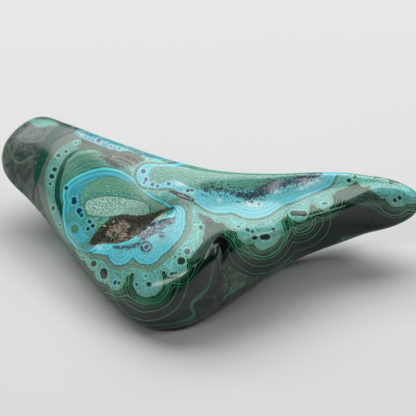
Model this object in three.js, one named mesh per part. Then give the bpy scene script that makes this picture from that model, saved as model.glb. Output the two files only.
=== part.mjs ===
// Polished freeform of chrysocolla grown through with malachite and azurite.
// One solid stone, shaped like a bent wing: a round lobe at the back left, a full elbow in front
// that carries the weight, and a slimmer arm at the right, dished on top, that rises to its tip.
// Units are millimetres, +Z is up, +X runs along the longest side, -Y is the front.
import * as THREE from "three";

const NODE_NAME = "chrysocolla_stone";

// How finely the skin is divided, along the stone and around each cross-section.
const COLUMNS = 68;
const AROUND = 54;

// The two ends close like ellipses: where the rounding starts and where the stone stops.
const LEFT_CAP_START = -35.5;
const LEFT_TIP = -48.0;
const RIGHT_CAP_START = 37.7;
const RIGHT_TIP = 47.6;

// Cross-sections from left to right. Each one is a ring through landmarks given as [y, z]:
// ridge   where the show face on top turns over into the front face
// crown   middle of the show face
// shoulder  where the show face turns over into the back
// back    rearmost point
// sole    middle of the underside
// chin    where the front face turns under
// edge is the distance from the ridge at which its rounding begins.
const SECTIONS = [
  {
    x: -48, edge: 4,
    ridge: [37, 14], crown: [46, 20.2], shoulder: [53.5, 20.6],
    back: [57.5, 15], sole: [47, 8], chin: [37, 10],
  },
  {
    x: -40, edge: 4,
    ridge: [33.3, 12], crown: [44.5, 20.2], shoulder: [54, 21],
    back: [58, 14], sole: [45, 5], chin: [33.6, 8.2],
  },
  {
    x: -33, edge: 3.2,
    ridge: [21.6, 9.2], crown: [36, 18.8], shoulder: [48.2, 22],
    back: [53, 14], sole: [38, 2.5], chin: [23.2, 6.6],
  },
  {
    x: -28, edge: 3,
    ridge: [12.8, 8.3], crown: [29.5, 18], shoulder: [44.2, 22.5],
    back: [49.5, 13.5], sole: [31, 1], chin: [15, 5.2],
  },
  {
    x: -22, edge: 3.2,
    ridge: [3.8, 7.6], crown: [22.5, 17.8], shoulder: [39.3, 23],
    back: [44.5, 13], sole: [27, -0.9], chin: [6, 3.5],
  },
  {
    x: -14.5, edge: 4,
    ridge: [-3.2, 9.2], crown: [15.5, 18.4], shoulder: [33.8, 23.5],
    back: [39, 13], sole: [24, -1.8], chin: [-2, 1.8],
  },
  {
    x: -8, edge: 2.6,
    ridge: [-2.7, 12.6], crown: [13.8, 20], shoulder: [29.5, 23.8],
    back: [35.5, 12.5], sole: [22.5, -2.2], chin: [-3, 1.5],
  },
  {
    x: -2, edge: 1.7,
    ridge: [-1.1, 16.6], crown: [13.8, 21], shoulder: [26.5, 24],
    back: [32.5, 12.8], sole: [21, -2.2], chin: [-0.5, 1.5],
  },
  {
    x: 2, edge: 1.4,
    ridge: [2.7, 17.5], crown: [15.2, 21], shoulder: [25, 24],
    back: [31, 13], sole: [20, -1.8], chin: [2.4, 2.3],
  },
  {
    x: 8.1, edge: 1.2,
    ridge: [6.4, 18.1], crown: [17.1, 20.9], shoulder: [24.3, 23.7],
    back: [30.4, 13.4], sole: [19.9, -1], chin: [7.9, 3.2],
  },
  {
    x: 14.7, edge: 1.1,
    ridge: [9.7, 17.1], crown: [20.1, 19.8], shoulder: [25.8, 22.5],
    back: [31.8, 12.7], sole: [22.4, 0.2], chin: [14.9, 3.7],
  },
  {
    x: 21.4, edge: 0.9,
    ridge: [16.2, 16.2], crown: [24.7, 18.4], shoulder: [29, 20.7],
    back: [34.6, 12.1], sole: [26.6, 1.5], chin: [21, 3.5],
  },
  {
    x: 30.8, edge: 0.8,
    ridge: [22.4, 15.9], crown: [28.4, 17.5], shoulder: [32, 18.8],
    back: [36.7, 12], sole: [30.4, 3.2], chin: [25.5, 4.5],
  },
  {
    x: 37.4, edge: 1.4,
    ridge: [25, 17.4], crown: [28.4, 18.3], shoulder: [30.4, 18.8],
    back: [35, 13], sole: [29.9, 6.3], chin: [25.6, 7.2],
  },
  {
    x: 47.6, edge: 1.8,
    ridge: [23.1, 17.3], crown: [26, 18.6], shoulder: [28.3, 18.7],
    back: [32.3, 13.7], sole: [28.1, 9.2], chin: [23.8, 9.7],
  },
];
const LANDMARKS = ["ridge", "crown", "shoulder", "back", "sole", "chin"];

// Natural hollows that the polishing left: each is pressed in along a line, deepest on the line.
const HOLLOWS = [
  { name: "crystal pocket", from: [-24, 13.9, 12.6], to: [-9.5, 14.8, 19.5], radius: 3.2, depth: 1.3 },
  { name: "notch in the ridge", from: [2.6, 3.2, 18.4], to: [2.9, 5.2, 18.4], radius: 2, depth: 1.6 },
  { name: "groove below the notch", from: [3, 3.6, 16.5], to: [3.9, 2.8, 9.5], radius: 1.9, depth: 0.8 },
];

// Smooth curve through the values that one measure takes at the sections, read at x.
function alongStone(x, valueOf) {
  const last = SECTIONS.length - 1;
  let i = 0;
  while (i < last - 1 && x > SECTIONS[i + 1].x) i += 1;
  const at = (k) => SECTIONS[THREE.MathUtils.clamp(k, 0, last)];
  const slope = (k) => {
    const run = at(k + 1).x - at(k - 1).x;
    return (valueOf(at(k + 1)) - valueOf(at(k - 1))) / run;
  };
  const span = at(i + 1).x - at(i).x;
  const t = THREE.MathUtils.clamp((x - at(i).x) / span, 0, 1);
  const t2 = t * t;
  const t3 = t2 * t;
  return (
    (2 * t3 - 3 * t2 + 1) * valueOf(at(i)) +
    (t3 - 2 * t2 + t) * span * slope(i) +
    (3 * t2 - 2 * t3) * valueOf(at(i + 1)) +
    (t3 - t2) * span * slope(i + 1)
  );
}

// Landmark of the section at x, as a point in the section's own plane (y, z).
function landmark(name, x) {
  return new THREE.Vector2(
    alongStone(x, (section) => section[name][0]),
    alongStone(x, (section) => section[name][1]),
  );
}

// How much of its full size a section keeps: 1 along the body, 0 at either tip.
function fullness(x) {
  let reach = 0;
  if (x < LEFT_CAP_START) reach = (LEFT_CAP_START - x) / (LEFT_CAP_START - LEFT_TIP);
  if (x > RIGHT_CAP_START) reach = (x - RIGHT_CAP_START) / (RIGHT_TIP - RIGHT_CAP_START);
  return Math.sqrt(Math.max(0, 1 - reach * reach));
}

// Ring of points around the stone at x. The ridge becomes two points, one on each face, so that
// the turn between the faces is as tight as the section's edge.
function ring(x) {
  const marks = Object.fromEntries(LANDMARKS.map((name) => [name, landmark(name, x)]));
  const edge = alongStone(x, (section) => section.edge);
  const towards = (from, to) => to.clone().sub(from).setLength(edge).add(from);
  const outline = [
    towards(marks.ridge, marks.crown),
    marks.crown,
    marks.shoulder,
    marks.back,
    marks.sole,
    marks.chin,
    towards(marks.ridge, marks.chin),
  ];
  const curve = new THREE.CatmullRomCurve3(
    outline.map((p) => new THREE.Vector3(x, p.x, p.y)),
    true,
    "centripetal",
  );
  const centre = outline
    .reduce((sum, p) => sum.add(p), new THREE.Vector2())
    .divideScalar(outline.length);
  const middle = new THREE.Vector3(x, centre.x, centre.y);
  const size = fullness(x);
  return Array.from({ length: AROUND }, (_, k) =>
    curve.getPointAt(k / AROUND).sub(middle).multiplyScalar(size).add(middle),
  );
}

// Presses the hollows into the skin: each point moves inwards, against its normal.
function pressHollows(geometry) {
  geometry.computeVertexNormals();
  const position = geometry.getAttribute("position");
  const normal = geometry.getAttribute("normal");
  const point = new THREE.Vector3();
  const nearest = new THREE.Vector3();
  const inwards = new THREE.Vector3();
  HOLLOWS.forEach(({ from, to, radius, depth }) => {
    const line = new THREE.Line3(new THREE.Vector3(...from), new THREE.Vector3(...to));
    for (let i = 0; i < position.count; i += 1) {
      point.fromBufferAttribute(position, i);
      line.closestPointToPoint(point, true, nearest);
      const reach = Math.min(1, point.distanceTo(nearest) / radius);
      const push = depth * (1 - reach * reach) ** 2;
      inwards.fromBufferAttribute(normal, i).multiplyScalar(-push);
      point.add(inwards);
      position.setXYZ(i, point.x, point.y, point.z);
    }
  });
}

// Columns are spread like the points of a circle near the tips, where the skin curves most.
function columnPositions() {
  const positions = [];
  for (let i = 1; i < COLUMNS; i += 1) {
    const even = i / COLUMNS;
    const eased = (1 - Math.cos(Math.PI * even)) / 2;
    const share = THREE.MathUtils.lerp(even, eased, 0.6);
    positions.push(THREE.MathUtils.lerp(LEFT_TIP, RIGHT_TIP, share));
  }
  return positions;
}

function stoneGeometry() {
  const columns = columnPositions();
  const rings = columns.map(ring);
  const centreOf = (points) =>
    points.reduce((sum, p) => sum.add(p), new THREE.Vector3()).divideScalar(points.length);
  const points = rings.flat();
  const leftTip = points.push(centreOf(rings[0]).setX(LEFT_TIP)) - 1;
  const rightTip = points.push(centreOf(rings[rings.length - 1]).setX(RIGHT_TIP)) - 1;

  // The underside of the elbow is ground flat: whatever hangs below the ground is cut level.
  points.forEach((p) => {
    p.z = Math.max(p.z, 0);
  });

  const index = [];
  const at = (column, k) => column * AROUND + (k % AROUND);
  for (let c = 0; c < rings.length - 1; c += 1) {
    for (let k = 0; k < AROUND; k += 1) {
      index.push(at(c, k), at(c + 1, k), at(c + 1, k + 1));
      index.push(at(c, k), at(c + 1, k + 1), at(c, k + 1));
    }
  }
  for (let k = 0; k < AROUND; k += 1) {
    index.push(leftTip, at(0, k), at(0, k + 1));
    index.push(rightTip, at(rings.length - 1, k + 1), at(rings.length - 1, k));
  }

  const geometry = new THREE.BufferGeometry().setFromPoints(points);
  geometry.setIndex(index);
  pressHollows(geometry);
  geometry.computeBoundingBox();
  const box = geometry.boundingBox;
  geometry.translate(-(box.min.x + box.max.x) / 2, -(box.min.y + box.max.y) / 2, -box.min.z);
  geometry.computeVertexNormals();
  return geometry;
}

const stone = new THREE.Mesh(
  stoneGeometry(),
  new THREE.MeshStandardMaterial({ color: 0x2f8f8a, roughness: 0.18, metalness: 0 }),
);
stone.name = NODE_NAME;

const part = new THREE.Group();
part.name = "chrysocolla_specimen";
part.add(stone);

export default part;
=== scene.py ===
"""A polished freeform of chrysocolla, malachite and azurite, resting on a pale studio floor."""
import math
import random

import bmesh
import bpy
import numpy as np
from mathutils import Matrix, Vector, noise


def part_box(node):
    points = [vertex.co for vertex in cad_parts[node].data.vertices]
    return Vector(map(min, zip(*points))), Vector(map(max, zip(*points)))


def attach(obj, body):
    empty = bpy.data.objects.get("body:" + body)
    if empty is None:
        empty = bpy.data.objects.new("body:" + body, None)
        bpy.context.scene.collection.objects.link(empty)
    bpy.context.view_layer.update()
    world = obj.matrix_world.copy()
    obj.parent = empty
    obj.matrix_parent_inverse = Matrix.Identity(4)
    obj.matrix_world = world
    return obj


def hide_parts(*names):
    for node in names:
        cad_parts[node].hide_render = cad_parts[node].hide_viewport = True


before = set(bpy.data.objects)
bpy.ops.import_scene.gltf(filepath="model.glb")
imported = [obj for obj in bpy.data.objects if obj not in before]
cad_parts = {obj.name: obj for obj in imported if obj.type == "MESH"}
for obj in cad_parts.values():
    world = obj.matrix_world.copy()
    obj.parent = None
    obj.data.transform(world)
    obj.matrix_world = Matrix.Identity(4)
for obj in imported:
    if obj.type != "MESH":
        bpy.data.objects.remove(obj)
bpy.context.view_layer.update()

MM = 0.001
NODE = "chrysocolla_stone"

# The show face is looked at from this height angle and distance (mm), towards a point near the
# stone's middle (mm). SHOW_WIDTH is how much is seen from side to side at that point.
SHOW_TILT = math.radians(34)
SHOW_DISTANCE = 420.0
SHOW_WIDTH = 93.5
STONE_MIDDLE = np.mean(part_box(NODE), axis=0) / MM
SHOW_POINT = STONE_MIDDLE + (0.2, 1.45, -0.25)

# ---- markings ----

# Markings are made of strokes. A stroke is a list of (across, up, radius) in mm: how far right of and
# above the show point it looks, and how thick it is there. Each point is a centre that the mineral grew
# round, so a stroke's edge is made of arcs.
STROKE_STEPS = 5  # straight pieces from one point of a stroke to the next
DEPTH_WEIGHT = 0.4  # how much a distance away from the viewer counts, beside one across or up

# The body is all that lies right of the waist. The lobe left of it has a pale patch and bands.
BODY = [[(-27.5, 6.7, 11.7), (-25, 2, 12.5), (-15, -3, 15)], [(-15, -3, 15), (20, 0, 40)]]
WAIST_TEAL = [[(-31.2, 19.2, 0.9), (-34.5, 16.8, 1.2), (-36.6, 13, 1.1), (-38.2, 8.8, 0.9), (-39, 5, 0.5)]]
WAIST_LINE = [[(-38.6, 6.3, 0.3), (-39.4, 2.8, 0.4), (-38.7, 0.4, 0.35), (-37, -2.2, 0.25)]]
LOBE_PATCH = [[(-40, 20, 0.7), (-38, 19.3, 1.2), (-35.5, 19.4, 0.9), (-33.7, 19, 0.4)]]
LOBE_BANDS = [
    [(-42.6, 17.8, 0.3), (-42.2, 15.6, 0.35), (-40.2, 14.9, 0.35), (-37.6, 15.6, 0.3), (-36, 17.6, 0.25)],
    [(-45, 14.5, 0.3), (-44.2, 11.6, 0.3), (-42.2, 10.2, 0.3), (-40, 11.6, 0.25)],
]

# The large round at the left: a green arc, a sky-blue band, and a lens of pale grains in green, with
# a wedge and a needle at its right end and a small ring of its own at the lower left.
LENS_ARC = [[(-27, -1, 7), (-27.4, 6.3, 7), (-23.4, 6.7, 6.5)]]
LENS_ARC_LINE = [
    [(-32.8, -1.8, 0.5), (-34, 3, 0.65), (-33, 8.5, 0.6), (-30.3, 12.6, 0.35), (-26, 13.1, 0.22),
     (-20.2, 11.9, 0.25)],
]
LENS_BLUE = [
    [(-28.3, 2.9, 4.7), (-24.7, 4, 5.2), (-22, 3.6, 5.6), (-18.7, 2, 4.7), (-14.2, 0.4, 3),
     (-10.8, -0.4, 2.2), (-8.5, -0.9, 1.3)],
    [(-28.5, 0, 4.5), (-28.4, -4.5, 4.2), (-27, -7, 3)],
]
LENS_INNER = [
    [(-25, 2, 3.9), (-22.5, 2.3, 4.9), (-18.7, 1.1, 4.4), (-14.2, 0, 2.7), (-10.8, -0.9, 1.8)],
    [(-25, 2, 3.9), (-24, -2, 3.5)],
]
LENS_GRAIN = [[(-26, 0.4, 1.6), (-22, 0.4, 2.1), (-17.5, 0, 1.8), (-14.4, -0.4, 1.1)]]
LENS_WEDGE = [[(-15.6, 2.6, 0.3), (-12.6, 1, 0.8), (-9.8, -0.4, 0.6)]]
LENS_NEEDLE = [[(-17.5, 4.5, 0.15), (-15.3, 2.5, 0.22), (-13, 0.7, 0.2), (-10.8, -0.4, 0.15)]]
LENS_LOW = [[(-30.6, -1.6, 1.3), (-29.6, -5, 2.3), (-27.6, -8, 1.8)]]
RING_BLUE = [[(-30.2, -4.8, 1.7), (-28.4, -6.6, 1.2)]]
RING_GREEN = [[(-30.1, -4.7, 1.1)]]

# Along the far edge: a blue ribbon, then olive and black stone.
RIBBON = [
    [(-29, 17.2, 1.1), (-24.5, 15.8, 1.6), (-20.5, 14.4, 1.8), (-16.5, 14.6, 1.9), (-13, 13, 2),
     (-9, 12.8, 2), (-4, 11.8, 2.1)],
]
RIBBON_PALE = [[(-19, 13.6, 0.5), (-16, 13, 0.7), (-13, 12.4, 0.6)], [(-28.3, 16.8, 0.9)]]
OLIVE_TOP = [[(-29, 13.8, 0.5), (-25, 13.6, 0.7), (-21, 12, 1.2), (-17.5, 11, 1.5), (-15, 10.5, 1.1)]]
BLACK_TOP = [
    [(-24.2, 11.6, 0.35), (-22.4, 10.8, 0.6), (-20.6, 9.8, 0.6), (-19, 9.2, 0.35)],
    [(-19.6, 12.3, 0.25), (-17, 11.2, 0.35), (-15, 9.6, 0.3)],
]

# Two splinters of fibres, one by the black stone and one near the lens's tip.
FIBRES = [
    [(-21.3, 11.6, 0.35), (-18.5, 10.6, 0.5), (-16, 9.2, 0.35)],
    [(-9.2, 4, 0.3), (-6.3, 3, 0.65), (-3.4, 1.8, 0.6)],
]

# The long drop of sky blue that runs to the right, with green inside it, an azurite streak and specks,
# and small pale bits.
DROP = [
    [(-13.5, 7.4, 2.8), (-10.8, 7.1, 2.9), (-8.1, 7.4, 3), (-5.4, 7.2, 3.8), (-2.7, 6.7, 4.7),
     (0, 5.8, 5.5), (2.5, 3.8, 5.1), (5.4, 4, 5.3), (8.1, 4, 5.7), (10.3, 3.8, 6.4), (13.5, 4.9, 5.4),
     (16.9, 5.8, 4.9), (19.8, 6.3, 4.3), (22.5, 6.7, 3.5), (25.2, 7.4, 3.3), (27.4, 8.1, 1.8)],
]
DROP_GREEN = [
    [(-11.2, 7.4, 2), (-7.4, 8.1, 1.5), (-4.9, 7.9, 2.2), (-2.7, 7.4, 2.9), (0.4, 7.2, 3.3),
     (4.5, 7.2, 3.4), (8.1, 7.2, 3.2), (10.8, 7.6, 3.3), (13.5, 9, 3.3), (17.3, 9.7, 3.4),
     (20.7, 10.3, 3.4), (23.8, 11.2, 3.3)],
]
AZURITE_STREAK = [
    [(5.6, 3.4, 0.3), (7.4, 2.9, 0.65), (9.4, 2.8, 0.8), (11.2, 3.4, 0.95), (13, 4.3, 1.1),
     (15.1, 5.2, 0.95), (17.1, 5.4, 0.7)],
    [(18.2, 6, 0.6), (20.4, 6.2, 0.75), (22.7, 7, 0.75), (25.2, 8, 0.5)],
]
AZURITE_SPECKS = [
    [(-0.6, 4.2, 0.4), (0.3, 4.3, 0.4)], [(1.1, 4.8, 0.35)], [(2.1, 4.3, 0.4), (3, 4.3, 0.35)],
    [(4.5, 4, 0.3)],
]
PALE_BITS = [
    [(17.8, 4.8, 0.25), (19.8, 5, 0.3), (21.1, 5.6, 0.25), (23.8, 5.9, 0.3), (26.1, 7.7, 0.2)],
    [(8.2, 1.1, 0.5), (10, 1, 0.85), (11.8, 0.8, 0.6)], [(2.5, 1.8, 0.6)],
    [(-7.9, 7.2, 0.5)], [(-7, 5.6, 0.5), (-4.4, 5.5, 0.6)], [(-5.5, 3.8, 0.4), (-3.6, 3.4, 0.5)],
]

# The sky blue round the pocket with its dark speckle, and the turquoise rounds in front of it and of
# the drop.
EDGE_BLUE = [
    [(-25.2, -7.9, 2.4), (-23.1, -7.9, 2.7)], [(-19.7, -9.9, 3)], [(-13.7, -9.2, 3.6)],
    [(-11.2, -7.4, 3.2), (-8.3, -4.7, 2.8), (-7.2, -1.3, 2.2)],
    [(-22, -6, 3), (-15, -5, 4), (-9, -3, 3)],
]
EDGE_SPECKLE = [
    [(-14.8, -6, 1.3), (-11.9, -3.7, 1.9), (-9.2, -2.2, 1.9)], [(-13.9, -8.7, 1.3)], [(-10.4, -6, 0.8)],
    [(-21.2, -8.7, 0.4), (-18.4, -9, 0.5), (-15.6, -8.2, 0.5)],
]
EDGE_LOOPS = [
    [(-15.3, -9.4, 0.12), (-13.7, -10.2, 0.16), (-12.7, -9.5, 0.12)],
    [(-10.8, -6.3, 0.12), (-10.1, -7.2, 0.15), (-9.3, -6, 0.12)],
]
RIM = [
    [(-25.6, -12.1, 2.1)], [(-23.6, -14.8, 2.2)], [(-20.7, -16.4, 2)], [(-13.5, -16.4, 3.5)],
    [(-7.4, -12.8, 2.7)], [(-4.7, -9.4, 2), (-2.7, -4.3, 2.5)],
    [(-1, 0.5, 2.2), (3.8, 0, 3.1), (6.7, -2.7, 2.8)], [(9.4, -5.2, 2.9)],
    [(12.6, -6.3, 3), (14.4, -4.7, 2.7)], [(20.4, -0.4, 2.6)], [(26, 1.8, 2.2)],
    [(28.5, 6.6, 2.8), (31, 7.2, 2.3)], [(35.3, 6.8, 2)], [(38.7, 4.6, 2.4)], [(42.5, 3, 2.7)],
    [(46, 4, 3)],
    [(-24, -9, 4.2), (-14, -9, 5.2), (-8, -5, 4.6), (-5, -1, 3.6)],
]

# Painted grey sheen by the notch and on the slim arm: the polish's reflection laid into the colour. Also
# the arm's last blue and its thin line.
PAINTED_SHEEN = [
    [(29.2, 3.3, 0.7), (32.5, 2.7, 1.7), (36, 2.2, 1.9), (38.4, 1.2, 1.1)],
    [(-1.6, -1.6, 0.5), (0.2, -3.4, 1.3), (1.2, -5.8, 2), (-0.4, -8.6, 1.3), (-3, -11, 0.8)],
]
END_BLUE = [[(26.5, 8.2, 0.8), (29, 8.4, 0.9), (31, 7.9, 0.6)]]
END_LINE = [[(29.7, 7.2, 0.14), (34, 6.4, 0.16), (39, 5, 0.14), (43.2, 3.8, 0.12)]]

# The places that aren't polished.
POCKET = [
    [(-26.1, -7.9, 0.6), (-23.4, -6.2, 1.7), (-19.8, -4.9, 3.1), (-16.6, -4, 2.2), (-13, -2.2, 0.8),
     (-9.7, -0.5, 0.3), (-7.9, 0, 0.2)],
]
NOTCH = [
    [(1.8, -7.7, 0.4), (3, -7, 0.75), (3.7, -8.4, 0.75), (3.6, -10.4, 0.45), (3.3, -12, 0.3)],
]
GROOVE = [[(2.8, -9, 0.4), (2.8, -13, 0.35), (3.6, -17.5, 0.3), (4.3, -20, 0.25)]]
ROUGH_PATCH = [[(4, -12.8, 0.7), (5.4, -15.4, 1.7), (8, -16.4, 1.4), (11.4, -16, 0.5)], [(5, -17.8, 1.4)]]

# Bells are wide rounds of lines in the malachite, below the turquoise.
BELLS = [[(12.8, -6.3, 4.7)], [(21.3, -3.1, 2.4)], [(-13.5, -16.4, 4.6)]]

# One thick muted line low on the elbow, and the torn edge below the unpolished patch.
LOW_LINE = [
    [(1.3, -12.4, 0.15), (0.7, -16.4, 0.2), (-1.1, -19.3, 0.25), (-3.6, -21.6, 0.35),
     (-3.1, -24.4, 0.4), (-6.3, -25.6, 0.25), (-10.8, -26.4, 0.2), (-14.6, -26.2, 0.2),
     (-18.4, -23.6, 0.15), (-20.2, -22.7, 0.1)],
]
PATCH_EDGE = [
    [(11.6, -15.6, 0.15), (8.4, -17.4, 0.2), (4.8, -19.3, 0.25), (3, -21.6, 0.2), (2, -23.6, 0.15)],
]

# Eyes are round growth centres, each with its own dark or coloured heart.
DARK_EYES = [
    (-33.6, 11.8, 0.5), (-34.6, 8.8, 0.6), (-35.3, 7.2, 0.6), (-35.6, 5.4, 0.4), (-34.9, 0, 0.6),
    (-33.5, -3.9, 0.4), (-31.9, 12.8, 0.4), (-29.9, 14.8, 0.35), (6.8, -4.1, 0.4), (8.8, -4.8, 0.55),
    (10, -5.2, 0.45), (10.5, -6.6, 0.6), (14.8, -4.8, 0.5), (-25.8, -12.6, 0.75), (-20, -16.9, 0.45),
    (-13.9, -15.3, 0.35), (-13.3, -17.2, 0.6), (-7.4, -11, 0.35), (-6, -11.9, 0.9), (-4.7, -9.8, 0.7),
    (-1.6, -4.2, 0.55), (31.7, 6.3, 0.5), (33, 7, 0.45), (42, 1.6, 0.45), (43.1, 2.3, 0.45),
]
LONG_DARK_EYES = [
    [(12.2, -6.5, 0.6), (13.4, -6.5, 0.6)], [(19.2, -1.1, 0.7), (21.8, -1.1, 0.7)],
    [(25.9, 1.1, 0.4), (26.6, 1.2, 0.35)], [(-23.6, -14.4, 0.9), (-23.5, -15.2, 0.9)],
    [(-8.3, -14.8, 0.3), (-7.2, -14.6, 0.3)],
]
NAVY_EYES = [
    (-31.8, 4.6, 0.5), (-30.2, 2, 0.55), (-30.2, 1.4, 0.6), (-29, -0.7, 0.7), (-28.4, -1.6, 0.5),
    (-26.7, -3, 0.5), (-26, -4, 0.5), (-27, -4.7, 0.45), (-20.9, -16.8, 0.5), (-16.1, -17.1, 0.4),
]
PURPLE_EYES = [
    (-14.6, 8.3, 0.6), (-14, 6.5, 0.5), (-14.4, 5.8, 0.4), (-12.5, 5.4, 0.45), (-11.4, 4.9, 0.4),
    (-8.8, 5.6, 0.5), (-4.6, 4, 0.45), (-3.6, 4.1, 0.4), (9.9, 1.4, 0.45), (11.5, 0.9, 0.4),
    (-24.5, 15.3, 0.6), (-22, 13.9, 0.4), (-20, 13.6, 0.45), (-18.4, 13.8, 0.4), (-13.8, -8.6, 0.5),
]

# Growth centres on the hidden sides, as (x, y, z, radius) in mm: turquoise rounds in the malachite.
HIDDEN_ROUNDS = [
    (-36, 30, 10, 6), (-20, 26, 14, 5), (-6, 18, 10, 6), (8, 14, 12, 4), (20, 16, 7, 5), (36, 12, 10, 4),
    (-30, 5, 2, 5), (-18, -8, 0, 6), (-2, -14, 1, 4), (-10, 4, 0, 6), (14, -5, 3, 4), (30, 3, 6, 3),
]


def single_points(eyes):
    """Eyes as strokes of one point each."""
    return [[eye] for eye in eyes]


# The markings whose distance is stored on the skin, by the name that the material reads.
MARKINGS = {
    "waist_teal": WAIST_TEAL, "waist_line": WAIST_LINE, "lobe_patch": LOBE_PATCH,
    "lobe_bands": LOBE_BANDS, "lens_arc": LENS_ARC, "lens_arc_line": LENS_ARC_LINE,
    "lens_blue": LENS_BLUE, "lens_inner": LENS_INNER, "lens_grain": LENS_GRAIN,
    "lens_wedge": LENS_WEDGE, "lens_needle": LENS_NEEDLE, "lens_low": LENS_LOW,
    "ring_blue": RING_BLUE, "ring_green": RING_GREEN, "ribbon": RIBBON, "ribbon_pale": RIBBON_PALE,
    "olive_top": OLIVE_TOP, "black_top": BLACK_TOP, "fibres": FIBRES, "drop": DROP,
    "drop_green": DROP_GREEN, "azurite": AZURITE_STREAK + AZURITE_SPECKS, "pale_bits": PALE_BITS,
    "edge_blue": EDGE_BLUE, "edge_speckle": EDGE_SPECKLE, "edge_loops": EDGE_LOOPS, "painted_sheen": PAINTED_SHEEN,
    "end_blue": END_BLUE, "end_line": END_LINE, "pocket": POCKET, "notch": NOTCH, "groove": GROOVE,
    "patch": ROUGH_PATCH, "patch_edge": PATCH_EDGE, "low_line": LOW_LINE, "bells": BELLS,
    "dark_eyes": single_points(DARK_EYES) + LONG_DARK_EYES, "navy_eyes": single_points(NAVY_EYES),
    "purple_eyes": single_points(PURPLE_EYES),
}

WANDER = 0.22  # how far a marking's edge strays from its strokes, mm
HIDDEN_WANDER = 1.2  # the same for the hidden rounds, mm
WANDERS_PER_MM = 0.35  # how often it strays
HIDDEN_HEART = -2.4  # distance from a hidden round's edge to its sky-blue heart, mm
HEART_RING = 0.6  # how wide the brown ring round that heart is, mm
DROP_MARGIN = 2.2  # how far the turquoise reaches outside the drop, mm
EDGE_MARGIN = 2.5  # how far it reaches outside the front edge's blue, mm
RIM_BLEND = 1.6  # how far the creases between the turquoise rounds are smoothed, mm
# Knobs on the rim of the turquoise: how far they stand out (mm), how many there are a mm, seed.
KNOBS = [(0.38, 0.75, 8), (0.2, 1.6, 9)]
KNOBS_START, KNOBS_FULL = -1.2, 0.2  # how far inside the rim they begin, and reach full size, mm
STRIP_END = -28.6  # how far right the left strip may reach, mm across
LOBE_END = -30  # how far right the lobe may reach, mm across

# Places sunk below the polish: strokes, where the wall starts and ends (mm inside the edge), depth
# (mm), and how much coarse and fine unevenness the place has (mm).
SUNK = [
    (POCKET, -0.1, 0.8, 1.1, 0.45, 0.25), (NOTCH, -0.15, 0.4, 1.7, 0, 0.15),
    (GROOVE, -0.4, 0.3, 0.3, 0, 0), (ROUGH_PATCH, -0.2, 0.6, 0.15, 0.2, 0.16),
]
LUMPS_PER_MM, GRIT_PER_MM = 0.9, 2.4  # the coarse and the fine unevenness
SWELLS_PER_MM, POLISH_SWELL = 0.12, 0.05  # the slight unevenness of the polish, and its height in mm
FLAT_HEIGHTS = (0.2, 1.5)  # nothing is sunk below the first height, and all of it above the second, mm
FINE_REACH = 0.9  # the mesh is finer within this far of small features, mm

# Bright lines in the malachite: distance outside the turquoise (mm), half width (mm), strength.
GROWTH_LINES = [
    (0.35, 0.07, 0.8), (0.75, 0.08, 0.9), (1.15, 0.06, 0.6), (1.65, 0.09, 0.9), (2.2, 0.07, 0.5),
    (9.5, 0.1, 0.12),
]
SWAYING_BEYOND = 1.5  # growth lines further out than this sway, mm
# The same outside the bells, which all sway.
BELL_LINES = [(0.05, 0.1, 0.9), (0.75, 0.08, 0.8), (1.5, 0.07, 0.3), (2.4, 0.1, 0.6), (4.3, 0.11, 0.5)]


# ---- shape ----

PROBE_REACH = 0.8  # skin within this far of a place, mm, says how near the viewer the place is
SHARP_WITHIN, ROUND_BEYOND = 0.5, 6  # creases stay up to the first distance and go by the second, mm
SEED_SHIFT = (17.3, 5.1, 9.7)  # how far apart two seeds read the noise
WELD_REACH = 0.001  # points nearer than this are one point, mm
# Two triangles become one four-sided face if their bend and the face's skew are under these.
MOST_BEND, MOST_SKEW = math.radians(50), math.radians(70)
POLISH_ROUNDS = 2  # how often the mesh is rounded


def add_object(name, data):
    made = bpy.data.objects.new(name, data)
    bpy.context.scene.collection.objects.link(made)
    return made


def smooth_steps(value, low, high):
    """0 below low, 1 above high, and a soft rise between."""
    share = np.clip((value - low) / (high - low), 0, 1)
    return share * share * (3 - 2 * share)


def shown(points):
    """Where points (mm) are seen on the show face: across, up, and nearness to the viewer."""
    away = points - SHOW_POINT
    sine, cosine = math.sin(SHOW_TILT), math.cos(SHOW_TILT)
    near = -away[:, 1] * cosine + away[:, 2] * sine
    up = away[:, 1] * sine + away[:, 2] * cosine
    grown = SHOW_DISTANCE / (SHOW_DISTANCE - near)
    return np.stack([away[:, 0] * grown, up * grown, near * DEPTH_WEIGHT], axis=1)


def curve_through(stroke):
    """Points along a smooth curve through a stroke's own points."""
    points = np.array(stroke, dtype=float)
    if len(points) == 1:
        return points
    ends = [2 * points[0] - points[1], *points, 2 * points[-1] - points[-2]]
    path = []
    for a, b, c, d in zip(ends, ends[1:], ends[2:], ends[3:]):
        for step in range(STROKE_STEPS):
            t = step / STROKE_STEPS
            path.append(0.5 * (2 * b + (c - a) * t + (2 * a - 5 * b + 4 * c - d) * t**2
                               + (3 * b - a - 3 * c + d) * t**3))
    path.append(points[-1])
    return np.array(path)


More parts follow.
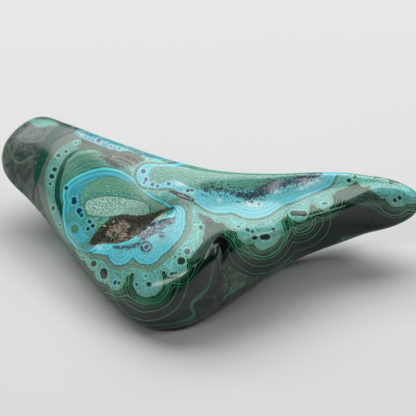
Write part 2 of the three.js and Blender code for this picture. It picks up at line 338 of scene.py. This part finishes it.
class Face:
    """The skin's points as they are seen on the show face, and distances to strokes on it."""

    def __init__(self, points):
        self.seen = shown(points)

    def nearness(self, across, up):
        """How near the viewer the skin is, where it is seen at this place."""
        gap = np.hypot(self.seen[:, 0] - across, self.seen[:, 1] - up)
        close = self.seen[gap < max(PROBE_REACH, gap.min() + 0.1)]
        return close[:, 2].max()

    def distance(self, strokes):
        """Distance in mm to the nearest stroke's edge, negative inside it."""
        return np.min([self.distance_to_one(stroke) for stroke in strokes], axis=0)

    def rounded_distance(self, strokes, blend):
        """The same, but the creases between strokes are rounded off further out."""
        gaps = np.array([self.distance_to_one(stroke) for stroke in strokes])
        sharp = gaps.min(axis=0)
        soft = sharp - blend * np.log(np.exp((sharp - gaps) / blend).sum(axis=0))
        return sharp + (soft - sharp) * smooth_steps(sharp, SHARP_WITHIN, ROUND_BEYOND)

    def distance_to_one(self, stroke):
        """Distance to one stroke's edge. Its radius changes evenly from each point to the next."""
        path = curve_through(stroke)
        centres = np.array([(a, u, self.nearness(a, u)) for a, u, _ in path])
        radii = path[:, 2]
        nearest = np.linalg.norm(self.seen - centres[0], axis=1) - radii[0]
        for start, end, r0, r1 in zip(centres, centres[1:], radii, radii[1:]):
            along = end - start
            share = np.clip((self.seen - start) @ along / max(along @ along, 1e-9), 0, 1)
            gap = np.linalg.norm(self.seen - start - share[:, None] * along, axis=1)
            nearest = np.minimum(nearest, gap - r0 - share * (r1 - r0))
        return nearest


def read_points(mesh):
    """The mesh's points, in mm."""
    flat = np.empty(len(mesh.vertices) * 3)
    mesh.vertices.foreach_get("co", flat)
    return flat.reshape(-1, 3) / MM


def read_normals(mesh):
    flat = np.empty(len(mesh.vertices) * 3)
    mesh.vertices.foreach_get("normal", flat)
    return flat.reshape(-1, 3)


def noise_at(points, per_mm, seed):
    """Smooth noise from -1 to 1 at points in mm."""
    offset = Vector([seed * shift for shift in SEED_SHIFT])
    return np.array([noise.noise(Vector(p) * per_mm + offset) for p in points])


def rounded_skin(node):
    """The node's mesh as a finer one of four-sided faces, with its corners polished round."""
    mesh = node.data.copy()
    work = bmesh.new()
    work.from_mesh(mesh)
    bmesh.ops.remove_doubles(work, verts=work.verts, dist=WELD_REACH * MM)
    bmesh.ops.join_triangles(work, faces=work.faces[:], angle_face_threshold=MOST_BEND,
                             angle_shape_threshold=MOST_SKEW)
    work.to_mesh(mesh)
    work.free()
    rough = add_object("rough_stone", mesh)
    finer = rough.modifiers.new("polish", "SUBSURF")
    finer.levels = POLISH_ROUNDS
    finer.render_levels = POLISH_ROUNDS
    evaluated = rough.evaluated_get(bpy.context.evaluated_depsgraph_get())
    skin = bpy.data.meshes.new_from_object(evaluated)
    bpy.data.objects.remove(rough)
    return skin


def divide_near(mesh, strokes, reach):
    """Cuts the faces within reach (mm) of the strokes in four, so that small detail has room."""
    face = Face(read_points(mesh))
    near = face.distance(strokes) < reach
    work = bmesh.new()
    work.from_mesh(mesh)
    work.verts.ensure_lookup_table()
    edges = [edge for edge in work.edges if near[edge.verts[0].index] and near[edge.verts[1].index]]
    bmesh.ops.subdivide_edges(work, edges=edges, cuts=1, use_grid_fill=True)
    many_sided = [f for f in work.faces if len(f.verts) > 4]
    bmesh.ops.triangulate(work, faces=many_sided)
    work.to_mesh(mesh)
    work.free()


def carve(mesh):
    """Sinks the crystal pocket, the notch and its groove, and roughens the unpolished places."""
    points, normals = read_points(mesh), read_normals(mesh)
    face = Face(points)
    coarse, fine = noise_at(points, LUMPS_PER_MM, 1), noise_at(points, GRIT_PER_MM, 2)
    depth = np.zeros(len(points))
    for strokes, wall_top, wall_foot, deep, lumps, grit in SUNK:
        sunk = smooth_steps(-face.distance(strokes), wall_top, wall_foot)
        depth += sunk * (deep + lumps * coarse + grit * fine)
    depth += POLISH_SWELL * noise_at(points, SWELLS_PER_MM, 3)
    above_flat = smooth_steps(points[:, 2], *FLAT_HEIGHTS)
    moved = points - normals * (depth * above_flat)[:, None]
    mesh.vertices.foreach_set("co", (moved * MM).ravel())
    mesh.update()


def small_features():
    """The strokes too small or too sharp for the plain mesh."""
    dots = single_points(DARK_EYES + NAVY_EYES + PURPLE_EYES) + LONG_DARK_EYES
    lines = NOTCH + GROOVE + PATCH_EDGE + FIBRES
    return dots + lines + POCKET + ROUGH_PATCH + PALE_BITS + AZURITE_SPECKS


def share_between(first, second):
    """0 where the first distance is 0, and 1 where the second is."""
    first, second = np.maximum(first, 0), np.maximum(second, 0)
    return first / np.maximum(first + second, 0.01)


def measure_markings(mesh):
    """Stores the distance to each marking, in mm, on the skin for the material to read."""
    points = read_points(mesh)
    wander = np.stack([noise_at(points, WANDERS_PER_MM, seed) for seed in (4, 5, 6)], axis=1)
    face = Face(points + WANDER * wander)
    across = face.seen[:, 0]
    fields = {name: face.distance(strokes) for name, strokes in MARKINGS.items()}
    rounds = np.array(HIDDEN_ROUNDS, dtype=float)
    offsets = (points + HIDDEN_WANDER * wander)[:, None, :] - rounds[None, :, :3]
    hidden = (np.linalg.norm(offsets, axis=2) - rounds[:, 3]).min(axis=1)
    rounds_gap = face.rounded_distance(RIM, RIM_BLEND)
    margins = [fields["drop"] - DROP_MARGIN, fields["edge_blue"] - EDGE_MARGIN]
    rim = np.minimum.reduce([rounds_gap] + margins)
    knobbly = sum(size * noise_at(points, per_mm, seed) for size, per_mm, seed in KNOBS)
    rim += knobbly * smooth_steps(-rim, KNOBS_START, KNOBS_FULL)
    fields["hidden"] = hidden
    fields["rim"] = np.minimum(rim, hidden)
    # The left strip runs between the waist and the lens's arc, and is shared out from 0 at the arc
    # to 1 at the waist.
    body, arc, blue = face.distance(BODY), fields["lens_arc"], fields["lens_blue"]
    fields["strip_share"] = share_between(arc, -body)
    fields["strip"] = np.maximum.reduce([body, -arc, across - STRIP_END])
    fields["lobe"] = np.maximum(-body, across - LOBE_END)
    fields["lens_share"] = share_between(-arc, blue)
    for name, values in fields.items():
        layer = mesh.attributes.new(name, "FLOAT", "POINT")
        layer.data.foreach_set("value", values.astype(np.float32))


# ---- material ----

# Growth rings inside the edge of the turquoise rounds: distance (mm), tone, strength.
RIM_RINGS = [
    (-0.02, (134, 190, 152), 0.9), (-0.24, (50, 96, 80), 0.75), (-0.46, (126, 188, 160), 0.6),
    (-0.68, (56, 104, 92), 0.6), (-0.92, (120, 190, 178), 0.45), (-1.2, (64, 116, 106), 0.4),
]

POLISH_GAIN = 1.6  # how much brighter a polished stone's colour is than a dry one's
POLISH_DEPTH = 1.08  # how much deeper it is
STONE_IOR = 1.54
# Roughness of the polish, and what the lobe, the clouds and the raw places add to it.
POLISHED, LOBE_DULLER, CLOUD_DULLER, RAW_DULLER = 0.15, 0.14, 0.05, 0.4
BUMP_HEIGHT = 0.25 * MM
POLISHED_BUMP, RAW_BUMP = 0.012, 0.6  # how much of that height shows


def linear(red, green, blue):
    """A screen colour from 0 to 255 a channel, as the shader's linear colour."""
    shares = [c / 255 for c in (red, green, blue)]
    return [s / 12.92 if s <= 0.04045 else ((s + 0.055) / 1.055) ** 2.4 for s in shares] + [1.0]


def stone_tone(red, green, blue):
    """A polished stone's colour, which is deeper and brighter than a dry one's."""
    wet = [c * POLISH_GAIN for c in linear(red, green, blue)[:3]]
    grey = sum(wet) / 3
    return [min(1.0, max(0.0, grey + (c - grey) * POLISH_DEPTH)) for c in wet] + [1.0]


class Painter:
    """Builds a colour as layers laid over one another, each through its own mask."""

    def __init__(self, name):
        self.material = bpy.data.materials.new(name)
        self.material.use_nodes = True
        self.tree = self.material.node_tree
        self.shader = self.tree.nodes["Principled BSDF"]
        self.place = self.tree.nodes.new("ShaderNodeTexCoord").outputs["Object"]

    def feed(self, socket, value):
        if isinstance(value, bpy.types.NodeSocket):
            self.tree.links.new(value, socket)
        else:
            socket.default_value = value

    def math(self, operation, *values):
        made = self.tree.nodes.new("ShaderNodeMath")
        made.operation = operation
        for socket, value in zip(made.inputs, values):
            self.feed(socket, value)
        return made.outputs[0]

    def field(self, name):
        """The distance, or share, that the skin stores under a name."""
        made = self.tree.nodes.new("ShaderNodeAttribute")
        made.attribute_name = name
        return made.outputs["Fac"]

    def noise(self, per_mm, detail=2.0, rough=0.55, twist=0.0):
        """Smooth noise from 0 to 1, with about this many lumps a millimetre."""
        made = self.tree.nodes.new("ShaderNodeTexNoise")
        made.inputs["Scale"].default_value = per_mm / MM
        made.inputs["Detail"].default_value = detail
        made.inputs["Roughness"].default_value = rough
        made.inputs["Distortion"].default_value = twist
        self.tree.links.new(self.place, made.inputs["Vector"])
        return made.outputs["Fac"]

    def cells(self, per_mm):
        """Distance to the nearest of scattered dots, about this many a millimetre."""
        made = self.tree.nodes.new("ShaderNodeTexVoronoi")
        made.inputs["Scale"].default_value = per_mm / MM
        self.tree.links.new(self.place, made.inputs["Vector"])
        return made.outputs["Distance"]

    def rise(self, value, low, high):
        """0 below low, 1 above high; with low over high it falls instead."""
        made = self.tree.nodes.new("ShaderNodeMapRange")
        made.interpolation_type = "SMOOTHSTEP"
        turned = low > high
        self.feed(made.inputs["Value"], value)
        made.inputs["From Min"].default_value = min(low, high)
        made.inputs["From Max"].default_value = max(low, high)
        made.inputs["To Min"].default_value = 1.0 if turned else 0.0
        made.inputs["To Max"].default_value = 0.0 if turned else 1.0
        return made.outputs["Result"]

    def inside(self, value, edge=0.0, soft=0.08):
        """1 inside an edge at this distance, 0 outside it, soft this far to each side."""
        return self.rise(value, edge + soft, edge - soft)

    def band(self, value, low, high, soft=0.07):
        """1 between two distances, 0 elsewhere."""
        above = self.rise(value, low - soft, low + soft)
        return self.math("MULTIPLY", above, self.inside(value, high, soft))

    def both(self, *masks):
        """Where all the masks are."""
        joined = masks[0]
        for mask in masks[1:]:
            joined = self.math("MULTIPLY", joined, mask)
        return joined

    def mix(self, below, above, mask):
        made = self.tree.nodes.new("ShaderNodeMix")
        made.data_type = "RGBA"
        self.feed(made.inputs[0], mask)
        self.feed(made.inputs[6], below)
        self.feed(made.inputs[7], above)
        return made.outputs[2]


class StonePaint(Painter):
    """The stone's colour, laid on zone by zone. Distances to the markings are in mm on the skin."""

    def __init__(self):
        super().__init__("banded_polished_stone")
        self.fine, self.grain = self.noise(3.4, 2.0, 0.6), self.noise(1.8, 3.0, 0.6)
        self.broad, self.slow = self.noise(0.55, 3.0, 0.6, 0.6), self.noise(0.16, 2.0)
        self.dots, self.blots = self.cells(2.6), self.cells(1.5)
        mixed = self.math("MULTIPLY_ADD", self.fine, 0.6, self.math("MULTIPLY", self.grain, 0.5))
        self.grains = self.rise(mixed, 0.44, 0.66)
        self.clouds = self.rise(self.broad, 0.36, 0.66)
        self.drift = self.rise(self.slow, 0.35, 0.65)
        self.frayed = self.math("MULTIPLY", self.math("SUBTRACT", self.grain, 0.5), 0.55)
        self.colour = stone_tone(30, 60, 52)

    def edge(self, name, fray=1.0):
        """Distance to a marking, with its edge frayed by the grain."""
        return self.math("ADD", self.field(name), self.math("MULTIPLY", self.frayed, fray))

    def tones(self, dark, light, share=None):
        """Two tones mixed by a share, or by the grain."""
        return self.mix(stone_tone(*dark), stone_tone(*light), share or self.grains)

    def ripple(self, value, period, wobble=9.0):
        """Fine growth lines along a marking: 0 to 1 and back over each period, fading in places."""
        turn = self.math("MULTIPLY", value, 2 * math.pi / period)
        shaken = self.math("MULTIPLY_ADD", self.broad, wobble, turn)
        swing = self.math("MULTIPLY_ADD", self.clouds, 0.35, 0.15)
        wave = self.math("MULTIPLY", self.math("SINE", shaken), swing)
        return self.math("ADD", wave, 0.5)

    def lined(self, value, period, lines=0.5):
        """A share for two tones: part fine growth lines, part grain."""
        rippled = self.math("MULTIPLY", self.ripple(value, period), lines)
        return self.math("MULTIPLY_ADD", self.grains, 1 - lines, rippled)

    def lay(self, colour, mask, strength=1.0):
        """Lays a colour over what is there already, through a mask."""
        if strength < 1:
            mask = self.math("MULTIPLY", mask, strength)
        self.colour = self.mix(self.colour, colour, mask)

    def growth_line(self, value, distance, half, strength):
        """A bright line at a distance from a marking, fainter in places."""
        patchy = self.math("MULTIPLY_ADD", self.drift, strength * 0.4, strength * 0.65)
        line = self.band(value, distance - half, distance + half, 0.09)
        self.lay(stone_tone(74, 152, 112), self.both(line, patchy))

    def malachite(self):
        rim = self.edge("rim", 0.3)
        sway = self.math("MULTIPLY", self.math("SUBTRACT", self.slow, 0.5), 1.6)
        far_rim = self.math("ADD", self.field("rim"), sway)
        self.colour = self.tones((2, 8, 6), (10, 32, 26), self.clouds)
        self.lay(stone_tone(18, 52, 40), self.ripple(far_rim, 0.75), 0.25)
        # Grey towards the low face, far from the turquoise: partly a duller skin, partly a painted
        # reflection of the floor.
        skin = self.math("ADD", far_rim, self.math("MULTIPLY", self.broad, 3.0))
        self.lay(self.tones((50, 58, 54), (80, 86, 82), self.clouds), self.rise(skin, 7.5, 12), 0.8)
        bells = self.math("ADD", self.field("bells"), self.math("MULTIPLY", sway, 0.4))
        for distance, half, strength in BELL_LINES:
            self.growth_line(bells, distance, half, strength)
        for distance, half, strength in GROWTH_LINES:
            start = far_rim if distance > SWAYING_BEYOND else rim
            self.growth_line(start, distance, half, strength)
        self.lay(stone_tone(58, 108, 88), self.inside(self.edge("low_line", 0.3), 0.12, 0.2), 0.75)

    def lobe_and_strip(self):
        # The lobe's grey-green is partly its own dull colour and partly a painted grey sheen laid over its
        # dark green.
        lobe = self.inside(self.field("lobe"))
        self.lay(self.tones((56, 70, 64), (98, 108, 100), self.clouds), lobe)
        bands = self.both(self.inside(self.field("lobe_bands"), soft=0.15), lobe)
        self.lay(stone_tone(104, 136, 116), bands, 0.6)
        patch = self.inside(self.edge("lobe_patch"), soft=0.2)
        self.lay(self.tones((76, 138, 126), (112, 166, 154)), patch)
        strip = self.inside(self.field("strip"))
        share = self.math("MULTIPLY_ADD", self.frayed, 0.12, self.field("strip_share"))
        self.lay(self.tones((74, 130, 120), (116, 172, 162), self.lined(share, 0.13)), strip)
        brown = self.tones((70, 84, 74), (104, 124, 110), self.lined(share, 0.1))
        self.lay(brown, self.both(strip, self.rise(share, 0.5, 0.56)))
        self.lay(stone_tone(34, 58, 52), self.both(strip, self.rise(share, 0.9, 0.94)))
        self.lay(self.tones((14, 58, 46), (32, 88, 70)), self.inside(self.edge("waist_teal"), soft=0.15))
        self.lay(stone_tone(14, 20, 20), self.inside(self.field("waist_line")))

    def turquoise_rounds(self):
        rim = self.edge("rim", 0.3)
        share = self.lined(rim, 0.62, 0.45)
        self.lay(self.tones((54, 120, 108), (134, 202, 192), share), self.inside(rim))
        bright = self.both(self.inside(rim, -0.5, 0.3), self.rise(self.broad, 0.5, 0.62))
        self.lay(stone_tone(116, 208, 214), bright, 0.8)
        dark_dots = self.both(self.inside(rim, -0.3), self.inside(self.dots, 0.2, 0.1))
        self.lay(stone_tone(44, 80, 76), dark_dots, 0.75)
        for inner, tone, strength in RIM_RINGS:
            self.lay(stone_tone(*tone), self.band(rim, inner - 0.08, inner + 0.08, 0.05), strength)
        hidden = self.math("MULTIPLY_ADD", self.frayed, 2.0, self.field("hidden"))
        blue = self.tones((70, 150, 176), (120, 200, 214), self.lined(hidden, 0.7))
        self.lay(blue, self.inside(hidden, HIDDEN_HEART, 0.15))
        ring = self.band(hidden, HIDDEN_HEART, HIDDEN_HEART + HEART_RING, 0.1)
        self.lay(stone_tone(70, 88, 66), ring, 0.7)

    def front_edge(self):
        edge = self.edge("edge_blue", 0.3)
        wide = self.math("ADD", edge, self.math("MULTIPLY", self.math("SUBTRACT", self.slow, 0.5), 1.2))
        olive = self.tones((72, 106, 90), (124, 158, 138), self.lined(wide, 0.5, 0.7))
        self.lay(olive, self.inside(wide, 1.45, 0.15))
        self.lay(stone_tone(36, 62, 56), self.inside(edge, 0.2, 0.09))
        blue = self.tones((70, 164, 190), (116, 208, 224), self.lined(edge, 0.8, 0.65))
        self.lay(blue, self.inside(edge))
        self.lay(self.tones((78, 150, 152), (128, 190, 190)), self.inside(edge, -2.2, 0.6), 0.7)
        speckle = self.inside(self.edge("edge_speckle", 2.0), soft=0.25)
        self.lay(stone_tone(98, 142, 154), speckle, 0.85)
        clots = self.inside(self.math("MULTIPLY_ADD", self.grain, 0.9, self.blots), 1.12, 0.06)
        self.lay(stone_tone(32, 38, 56), self.both(speckle, clots))
        self.lay(stone_tone(40, 50, 62), self.inside(self.field("edge_loops")))

    def lens(self):
        arc = self.inside(self.field("lens_arc"))
        share = self.math("MULTIPLY_ADD", self.frayed, 0.2, self.field("lens_share"))
        self.lay(self.tones((42, 98, 82), (102, 158, 138), self.lined(share, 0.16, 0.6)), arc)
        self.lay(stone_tone(96, 144, 120), self.both(arc, self.band(share, 0.34, 0.5, 0.06)), 0.7)
        self.lay(stone_tone(116, 174, 158), self.both(arc, self.band(share, 0.1, 0.2, 0.05)))
        self.lay(stone_tone(26, 74, 60), self.inside(self.edge("lens_arc_line", 0.4)))
        edge = self.edge("lens_blue", 0.35)
        self.lay(stone_tone(24, 62, 62), self.inside(edge, 0.14, 0.08))
        blue = self.tones((46, 122, 134), (88, 176, 186), self.lined(edge, 0.95, 0.7))
        self.lay(blue, self.inside(edge))
        self.lay(stone_tone(96, 200, 218), self.band(edge, -0.62, -0.04))
        self.lay(stone_tone(84, 182, 200), self.band(edge, -1.75, -1.05, 0.15), 0.8)
        low = self.inside(self.edge("lens_low", 1.6), soft=0.3)
        lines = self.lined(self.field("lens_low"), 0.6)
        self.lay(self.tones((58, 124, 116), (104, 174, 164), lines), low, 0.85)

    def lens_heart(self):
        inner, core = self.edge("lens_inner", 0.5), self.edge("lens_grain", 1.2)
        within = self.inside(inner, -0.2)
        self.lay(stone_tone(60, 112, 104), self.inside(inner, 0.12, 0.08))
        self.lay(self.tones((62, 116, 96), (118, 172, 148), self.lined(inner, 0.6)), self.inside(inner))
        dotted = self.tones((72, 130, 116), (130, 204, 204), self.inside(self.dots, 0.32, 0.1))
        self.lay(dotted, self.both(within, self.band(core, 0.7, 1.6, 0.15)))
        self.lay(stone_tone(56, 106, 88), self.both(within, self.band(core, 0.3, 0.6, 0.1)))
        self.lay(self.tones((84, 138, 114), (172, 216, 194)), self.inside(core, 0.25, 0.2))
        wedge = self.inside(self.edge("lens_wedge"), soft=0.15)
        self.lay(self.tones((94, 136, 112), (136, 170, 150)), wedge)
        self.lay(stone_tone(44, 82, 70), self.inside(self.field("lens_needle")))
        self.lay(stone_tone(84, 176, 192), self.inside(self.edge("ring_blue", 0.5), soft=0.12))
        green = self.tones((62, 112, 88), (96, 150, 120), self.lined(self.field("ring_green"), 0.5))
        self.lay(green, self.inside(self.edge("ring_green", 0.5), soft=0.12))

    def far_edge(self):
        ribbon = self.edge("ribbon", 0.6)
        blue = self.tones((52, 116, 132), (104, 168, 178), self.lined(ribbon, 0.8))
        self.lay(blue, self.inside(ribbon, soft=0.12))
        pale = self.inside(self.edge("ribbon_pale"), soft=0.3)
        self.lay(self.tones((84, 132, 126), (134, 178, 176)), pale)
        olive = self.edge("olive_top", 1.2)
        brown = self.tones((44, 58, 50), (92, 108, 90), self.lined(olive, 0.6))
        self.lay(brown, self.inside(olive, soft=0.2))
        black = self.inside(self.edge("black_top", 1.8), soft=0.2)
        self.lay(self.tones((12, 20, 20), (28, 44, 42)), black)

    def drop(self):
        drop, green = self.edge("drop", 0.35), self.edge("drop_green", 0.8)
        right_part = self.rise(self.field("drop_green"), 0.0, 0.4)
        self.lay(stone_tone(144, 172, 158), self.band(drop, 0.58, 0.85), 0.8)
        self.lay(self.tones((60, 112, 92), (112, 164, 136)), self.band(drop, 0.1, 0.58))
        self.lay(stone_tone(32, 72, 72), self.inside(drop, 0.18, 0.08))
        blue = self.tones((78, 172, 194), (134, 216, 226), self.lined(drop, 0.85, 0.6))
        self.lay(blue, self.inside(drop))
        self.lay(stone_tone(60, 120, 124), self.inside(green, 0.14, 0.1), 0.7)
        lines = self.lined(green, 0.7)
        self.lay(self.tones((60, 120, 104), (112, 170, 152), lines), self.inside(green, soft=0.12))
        pale = self.inside(self.edge("pale_bits", 0.8), soft=0.15)
        self.lay(stone_tone(176, 220, 222), self.both(pale, right_part))
        azurite = self.edge("azurite", 2.4)
        clumps = self.inside(self.blots, 0.66, 0.07)
        solid = self.math("MAXIMUM", clumps, self.inside(azurite, -0.2))
        core = self.both(self.inside(azurite, 0.15, 0.15), solid)
        self.lay(self.tones((22, 26, 42), (58, 66, 82)), core, 0.95)
        around = self.both(self.band(azurite, 0.0, 1.3, 0.25), self.inside(self.blots, 0.36, 0.08))
        self.lay(stone_tone(56, 68, 88), around, 0.9)
        stripes = self.rise(self.ripple(self.field("fibres"), 0.5, 3.0), 0.4, 0.6)
        fibre = self.mix(stone_tone(38, 54, 48), stone_tone(138, 140, 128), stripes)
        self.lay(fibre, self.inside(self.edge("fibres", 0.7)))

    def slim_arm(self):
        self.lay(stone_tone(104, 186, 206), self.inside(self.edge("end_blue", 0.5), soft=0.15))
        # The grey here is a painted sheen: the polish's reflection laid into the colour by the notch and
        # on the arm.
        painted_sheen = self.edge("painted_sheen")
        grey = self.tones((40, 62, 52), (74, 98, 86), self.lined(painted_sheen, 0.9))
        self.lay(grey, self.inside(painted_sheen, soft=0.3))
        self.lay(stone_tone(34, 70, 62), self.inside(self.field("end_line")))

    def mottling(self):
        """The fine broken grain of all the turquoise and blue."""
        within = self.inside(self.field("rim"))
        self.lay(stone_tone(30, 84, 84), self.both(within, self.rise(self.grain, 0.54, 0.66)), 0.28)
        self.lay(stone_tone(158, 222, 214), self.both(within, self.inside(self.grain, 0.43, 0.05)), 0.3)

    def eyes(self):
        """Each eye has a pale ring and a dark or coloured heart."""
        for name, heart, ring in (
            ("dark_eyes", (40, 54, 50), (134, 196, 180)),
            ("navy_eyes", (26, 50, 80), (110, 200, 212)),
            ("purple_eyes", (74, 72, 104), (150, 210, 216)),
        ):
            eye = self.edge(name, 0.9)
            self.lay(stone_tone(*ring), self.band(eye, 0.12, 0.36), 0.6)
            self.lay(stone_tone(*heart), self.inside(eye, soft=0.12))

    def raw_places(self):
        """The unpolished pocket, notch, groove and patch, and the mask of the roughest of them."""
        in_pocket = self.inside(self.edge("pocket", 0.8), soft=0.12)
        in_patch = self.inside(self.edge("patch", 1.6), soft=0.3)
        self.lay(stone_tone(62, 78, 58), self.inside(self.edge("pocket", 0.8), 0.2, 0.15))
        self.lay(self.tones((56, 58, 46), (108, 110, 90), self.rise(self.grain, 0.34, 0.7)), in_pocket)
        self.lay(self.tones((34, 50, 42), (86, 108, 92), self.rise(self.broad, 0.36, 0.64)), in_patch)
        self.lay(stone_tone(104, 128, 110), self.both(in_patch, self.rise(self.fine, 0.56, 0.62)), 0.5)
        self.lay(stone_tone(56, 124, 102), self.inside(self.field("patch_edge"), 0.15, 0.12))
        self.lay(self.tones((70, 74, 64), (112, 126, 112)), self.inside(self.edge("groove"), soft=0.2))
        # The notch's near-black is painted shade in its hollow.
        in_notch = self.inside(self.edge("notch"), soft=0.15)
        self.lay(self.tones((8, 14, 12), (24, 34, 30)), in_notch)
        return self.math("MAXIMUM", self.math("MAXIMUM", in_pocket, in_patch), in_notch)

    def finish(self, raw):
        """The polish, duller on the lobe and dullest where the stone is raw."""
        on_lobe = self.inside(self.field("lobe"), soft=2)
        dull = self.math("MULTIPLY_ADD", on_lobe, LOBE_DULLER, POLISHED)
        polish = self.math("MULTIPLY_ADD", self.clouds, CLOUD_DULLER, dull)
        rough = self.math("MULTIPLY_ADD", raw, RAW_DULLER, polish)
        self.feed(self.shader.inputs["Base Color"], self.colour)
        self.feed(self.shader.inputs["Roughness"], rough)
        self.shader.inputs["IOR"].default_value = STONE_IOR
        bump = self.tree.nodes.new("ShaderNodeBump")
        bump.inputs["Distance"].default_value = BUMP_HEIGHT
        self.feed(bump.inputs["Strength"], self.math("MULTIPLY_ADD", raw, RAW_BUMP, POLISHED_BUMP))
        self.feed(bump.inputs["Height"], self.fine)
        self.feed(self.shader.inputs["Normal"], bump.outputs["Normal"])


def stone_material():
    paint = StonePaint()
    paint.malachite()
    paint.lobe_and_strip()
    paint.turquoise_rounds()
    paint.front_edge()
    paint.lens()
    paint.lens_heart()
    paint.far_edge()
    paint.drop()
    paint.slim_arm()
    paint.mottling()
    paint.eyes()
    paint.finish(paint.raw_places())
    return paint.material


def crystal_material():
    p = Painter("pocket_crystal")
    colour = p.mix(linear(204, 182, 166), linear(242, 234, 220), p.rise(p.noise(1.3), 0.35, 0.65))
    green = p.rise(p.noise(0.6), 0.56, 0.62)
    p.feed(p.shader.inputs["Base Color"], p.mix(colour, linear(96, 150, 112), green))
    p.feed(p.shader.inputs["Roughness"], p.math("ADD", 0.25, p.math("MULTIPLY", p.noise(3.0), 0.2)))
    return p.material


def floor_material():
    p = Painter("pale_floor")
    colour = p.mix(linear(243, 243, 242), linear(245, 245, 244), p.noise(0.02))
    p.feed(p.shader.inputs["Base Color"], colour)
    p.shader.inputs["Roughness"].default_value = 0.9
    p.shader.inputs["Specular IOR Level"].default_value = 0.1
    return p.material


# ---- pieces ----

def polished_stone():
    skin = rounded_skin(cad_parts[NODE])
    divide_near(skin, small_features(), FINE_REACH)
    carve(skin)
    measure_markings(skin)
    skin.shade_smooth()
    skin.materials.clear()
    skin.materials.append(stone_material())
    return add_object("polished_stone", skin)


# Where crystals stand in the pocket, as (across, up, spread) in mm, and how many at each place.
CRYSTAL_NESTS = [
    (-20.4, -4.9, 1.7, 130), (-18.8, -4.2, 1.2, 60), (-21.8, -6, 1.1, 40), (-18.6, -6.3, 0.9, 30),
]
CRYSTAL_SEED = 7
LEAST_FACING = 0.3  # crystals stand only on skin that faces up and towards the viewer
CRYSTAL_LEAN = 0.55  # how far a crystal leans from the skin's normal
CRYSTAL_LENGTHS = (0.4, 1.1)  # mm
CRYSTAL_RADII = (0.14, 0.3)  # mm, at the root
CRYSTAL_TIP = 0.35  # the tip's radius beside the root's
CRYSTAL_RISE = 0.35  # how far out of the skin the middle is, as a share of the length


def pocket_crystals(stone):
    """Small six-sided crystals standing out of the pocket's floor."""
    points, normals = read_points(stone.data), read_normals(stone.data)
    face = Face(points)
    facing = normals[:, 2] - normals[:, 1] > LEAST_FACING
    draw = random.Random(CRYSTAL_SEED)
    made = bmesh.new()
    for across, up, spread, count in CRYSTAL_NESTS:
        for _ in range(count):
            place = np.array([across + draw.gauss(0, spread * 0.5), up + draw.gauss(0, spread * 0.5)])
            gap = np.hypot(*(face.seen[:, :2] - place).T)
            root = int(np.argmin(np.where(facing, gap, np.inf)))
            lean = Vector([draw.gauss(0, CRYSTAL_LEAN) for _ in range(3)])
            axis = (Vector(normals[root]) + lean).normalized()
            length = draw.uniform(*CRYSTAL_LENGTHS) * MM
            radius = draw.uniform(*CRYSTAL_RADII) * MM
            turn = axis.to_track_quat("Z", "Y").to_matrix().to_4x4()
            middle = Vector(points[root]) * MM + axis * length * CRYSTAL_RISE
            bmesh.ops.create_cone(made, cap_ends=True, segments=6, radius1=radius,
                                  radius2=radius * CRYSTAL_TIP, depth=length,
                                  matrix=Matrix.Translation(middle) @ turn)
    mesh = bpy.data.meshes.new("pocket_crystals")
    made.to_mesh(mesh)
    made.free()
    mesh.materials.append(crystal_material())
    return add_object("pocket_crystals", mesh)


stone = polished_stone()
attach(stone, "root")
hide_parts(NODE)

crystals = pocket_crystals(stone)
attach(crystals, "root")


# ---- floor, light and camera ----

FLOOR_REACH = 3.0  # m
LIGHT_DISTANCE = 1.2  # m
ROOM_LIGHT = 0.025  # the strength of the plain white room
SENSOR_WIDTH = 36.0  # mm


def floor():
    reach = FLOOR_REACH
    corners = [(-reach, -reach, 0), (reach, -reach, 0), (reach, reach, 0), (-reach, reach, 0)]
    mesh = bpy.data.meshes.new("floor")
    mesh.from_pydata(corners, [], [(0, 1, 2, 3)])
    mesh.materials.append(floor_material())
    return add_object("floor", mesh)


def softbox(name, turn, height, width, tall, watts):
    """A box light, width by tall in metres, aimed at the stone from its turn and height in degrees.
    The turn is 0 on the viewer's side and grows to the right."""
    light = bpy.data.lights.new(name, "AREA")
    light.shape = "RECTANGLE"
    light.size, light.size_y = width, tall
    light.energy = watts
    turn, height = math.radians(turn), math.radians(height)
    level = math.cos(height)
    place = Vector((math.sin(turn) * level, -math.cos(turn) * level, math.sin(height))) * LIGHT_DISTANCE
    made = add_object(name, light)
    made.location = place
    made.rotation_euler = place.to_track_quat("Z", "Y").to_euler()


floor()
# Most light comes from high behind, so the shadow falls towards the viewer. The small boxes make the
# streaks along the ridge and the elbow, and the side box lights the lobe.
softbox("main_box", 188, 51, 1.7, 0.85, 16)
softbox("side_box", -68, 16, 1.0, 0.6, 0.5)
softbox("elbow_box", -50, 40, 0.26, 0.16, 0.9)
softbox("crest_box", -22, 57, 0.34, 0.14, 0.6)
softbox("ridge_box", 82, 44, 0.58, 0.22, 1.8)

world = bpy.data.worlds.new("studio")
world.use_nodes = True
room = world.node_tree.nodes["Background"]
room.inputs["Color"].default_value = (1.0, 1.0, 1.0, 1.0)
room.inputs["Strength"].default_value = ROOM_LIGHT
bpy.context.scene.world = world

camera_data = bpy.data.cameras.new("show_camera")
camera_data.sensor_width = SENSOR_WIDTH
camera_data.lens = SENSOR_WIDTH * SHOW_DISTANCE / SHOW_WIDTH
camera = add_object("show_camera", camera_data)
backwards = Vector((0, -math.cos(SHOW_TILT), math.sin(SHOW_TILT)))
camera.location = (Vector(SHOW_POINT) + backwards * SHOW_DISTANCE) * MM
camera.rotation_euler = backwards.to_track_quat("Z", "Y").to_euler()
bpy.context.scene.camera = camera
bpy.context.scene.view_settings.view_transform = "Standard"
